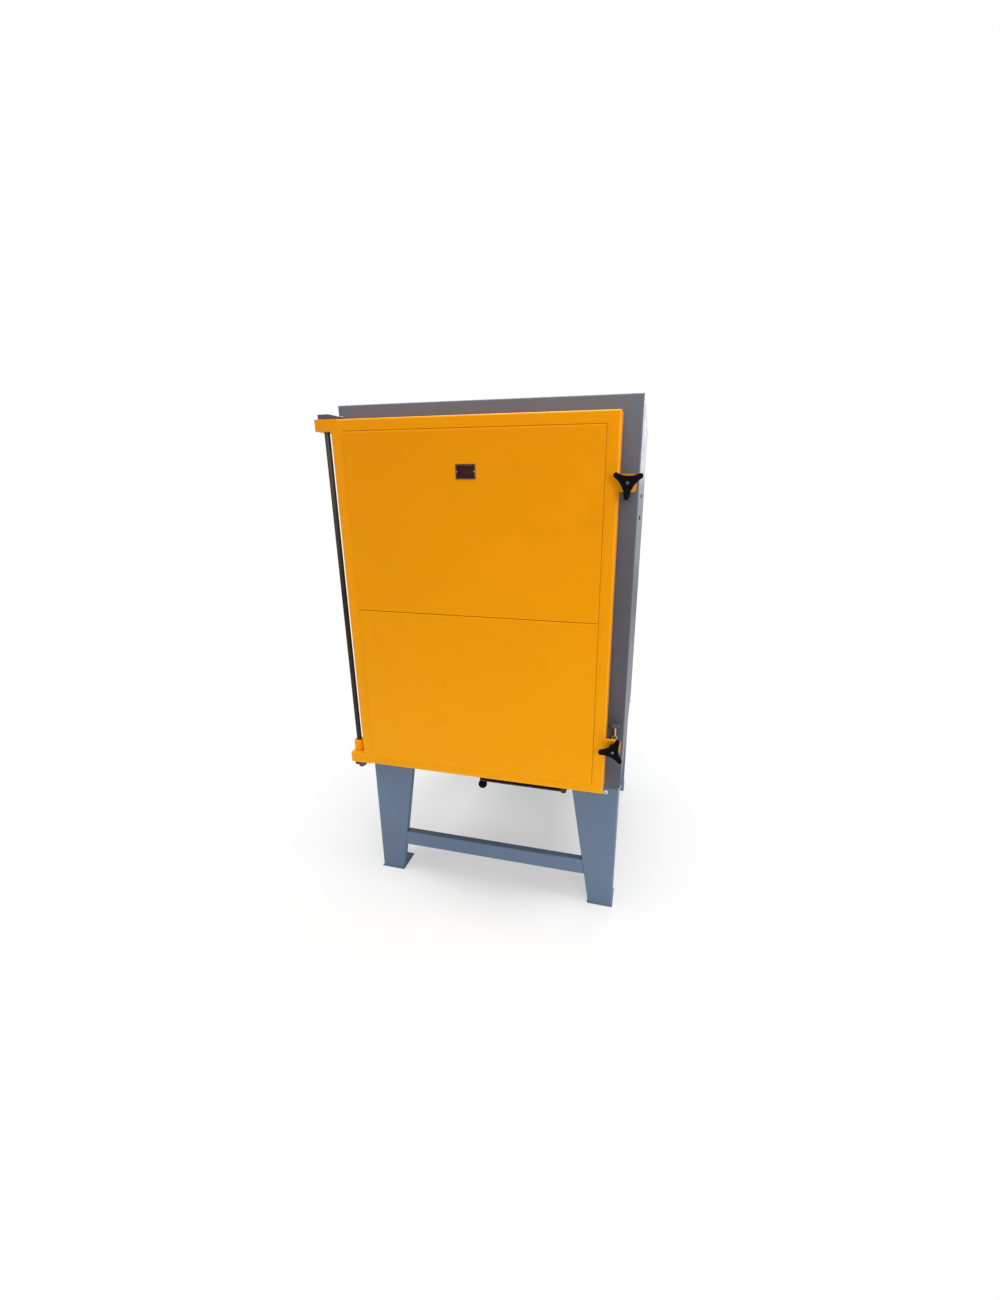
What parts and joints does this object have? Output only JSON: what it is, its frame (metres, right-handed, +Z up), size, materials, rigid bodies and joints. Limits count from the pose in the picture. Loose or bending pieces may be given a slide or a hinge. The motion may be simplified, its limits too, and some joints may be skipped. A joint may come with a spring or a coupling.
{
  "type": "electric chamber furnace",
  "caption": "Tall box furnace on folded tapered legs, with a wide front door hung on a long rod, star-knob clamps, a brick chamber, side heating elements and a damper lever.",
  "frame": {"origin": "middle of the footprint's bounding box, at the level of the feet's undersides", "axes": "+Z up, the door faces -Y, +X to the right as seen from the front"},
  "size_m": [1.0436, 1.1316, 1.846],
  "materials": {
    "front_frame": "satin enamel",
    "left_side_sheet": "satin enamel",
    "right_side_sheet": "satin enamel",
    "top_sheet": "satin enamel",
    "bottom_sheet": "satin enamel",
    "back_sheet": "satin enamel",
    "terminal_cover": "satin enamel",
    "upper_hinge_bracket": "satin enamel",
    "lower_hinge_bracket": "satin enamel",
    "hinge_rod_nut": "satin enamel",
    "upper_clamp_fork": "satin enamel",
    "lower_clamp_fork": "satin enamel",
    "floor_lining": "rough refractory",
    "roof_lining": "rough refractory",
    "left_lining": "rough refractory",
    "right_lining": "rough refractory",
    "back_lining": "rough refractory",
    "mouth_collar": "rough refractory",
    "door_lining": "rough refractory",
    "hearth_plate": "rough fired carbide",
    "left_heating_element": "oxidised heating alloy",
    "right_heating_element": "oxidised heating alloy",
    "left_element_rack": "fired ceramic",
    "right_element_rack": "fired ceramic",
    "front_left_leg": "satin enamel",
    "front_right_leg": "satin enamel",
    "rear_left_leg": "satin enamel",
    "rear_right_leg": "satin enamel",
    "front_crossbar": "satin enamel",
    "rear_crossbar": "satin enamel",
    "hinge_rod": "machined, lightly oiled",
    "thrust_washer": "machined, lightly oiled",
    "upper_trunnion": "machined, lightly oiled",
    "lower_trunnion": "machined, lightly oiled",
    "upper_clamp_screw": "machined, lightly oiled",
    "lower_clamp_screw": "machined, lightly oiled",
    "lever_pivot": "machined, lightly oiled",
    "door_frame": "satin enamel",
    "upper_cover_sheet": "satin enamel",
    "lower_cover_sheet": "satin enamel",
    "lower_hinge_boss": "satin enamel",
    "name_plate": "dark anodised sheet",
    "door_seal": "woven ceramic rope",
    "upper_star_knob": "moulded, semi-gloss",
    "lower_star_knob": "moulded, semi-gloss",
    "lever_bar": "moulded, semi-gloss",
    "lever_ball": "moulded, semi-gloss"
  },
  "bodies": {
    "furnace": {"front_frame": "front_frame", "left_side_sheet": "left_side_sheet", "right_side_sheet": "right_side_sheet", "top_sheet": "top_sheet", "bottom_sheet": "bottom_sheet", "back_sheet": "back_sheet", "terminal_cover": "terminal_cover", "upper_hinge_bracket": "upper_hinge_bracket", "lower_hinge_bracket": "lower_hinge_bracket", "hinge_rod_nut": "hinge_rod_nut", "upper_clamp_fork": "upper_clamp_fork", "lower_clamp_fork": "lower_clamp_fork", "floor_lining": "floor_lining", "roof_lining": "roof_lining", "left_lining": "left_lining", "right_lining": "right_lining", "back_lining": "back_lining", "mouth_collar": "mouth_collar", "hearth_plate": "hearth_plate", "left_heating_element": "left_heating_element", "right_heating_element": "right_heating_element", "left_element_rack": "left_element_rack", "right_element_rack": "right_element_rack", "front_left_leg": "front_left_leg", "front_right_leg": "front_right_leg", "rear_left_leg": "rear_left_leg", "rear_right_leg": "rear_right_leg", "front_crossbar": "front_crossbar", "rear_crossbar": "rear_crossbar", "hinge_rod": "hinge_rod", "thrust_washer": "thrust_washer", "upper_trunnion": "upper_trunnion", "lower_trunnion": "lower_trunnion", "lever_pivot": "lever_pivot"},
    "door": {"door_frame": "door_frame", "upper_cover_sheet": "upper_cover_sheet", "lower_cover_sheet": "lower_cover_sheet", "lower_hinge_boss": "lower_hinge_boss", "name_plate": "name_plate", "door_lining": "door_lining", "door_seal": "door_seal"},
    "upper_knob": {"upper_star_knob": "upper_star_knob", "upper_clamp_screw": "upper_clamp_screw"},
    "lower_knob": {"lower_star_knob": "lower_star_knob", "lower_clamp_screw": "lower_clamp_screw"},
    "lever": {"lever_bar": "lever_bar", "lever_ball": "lever_ball"}
  },
  "joints": [
    {"name": "door_hinge", "type": "hinge", "parent": "furnace", "child": "door", "pos_m": [-0.50185, -0.4935, 0.562], "axis": [0, 0, -1], "range_deg": [0, 110]},
    {"name": "upper_knob_turn", "type": "hinge", "parent": "door", "child": "upper_knob", "pos_m": [0.47965, -0.5658, 1.5955], "axis": [0, -1, 0], "continuous": true},
    {"name": "lower_knob_turn", "type": "hinge", "parent": "door", "child": "lower_knob", "pos_m": [0.47965, -0.5658, 0.748], "axis": [0, -1, 0], "continuous": true},
    {"name": "damper_lever_swing", "type": "hinge", "parent": "furnace", "child": "lever", "pos_m": [0.29865, -0.4215, 0.494], "axis": [0, 0, 1], "range_deg": [0, 60]}
  ]
}
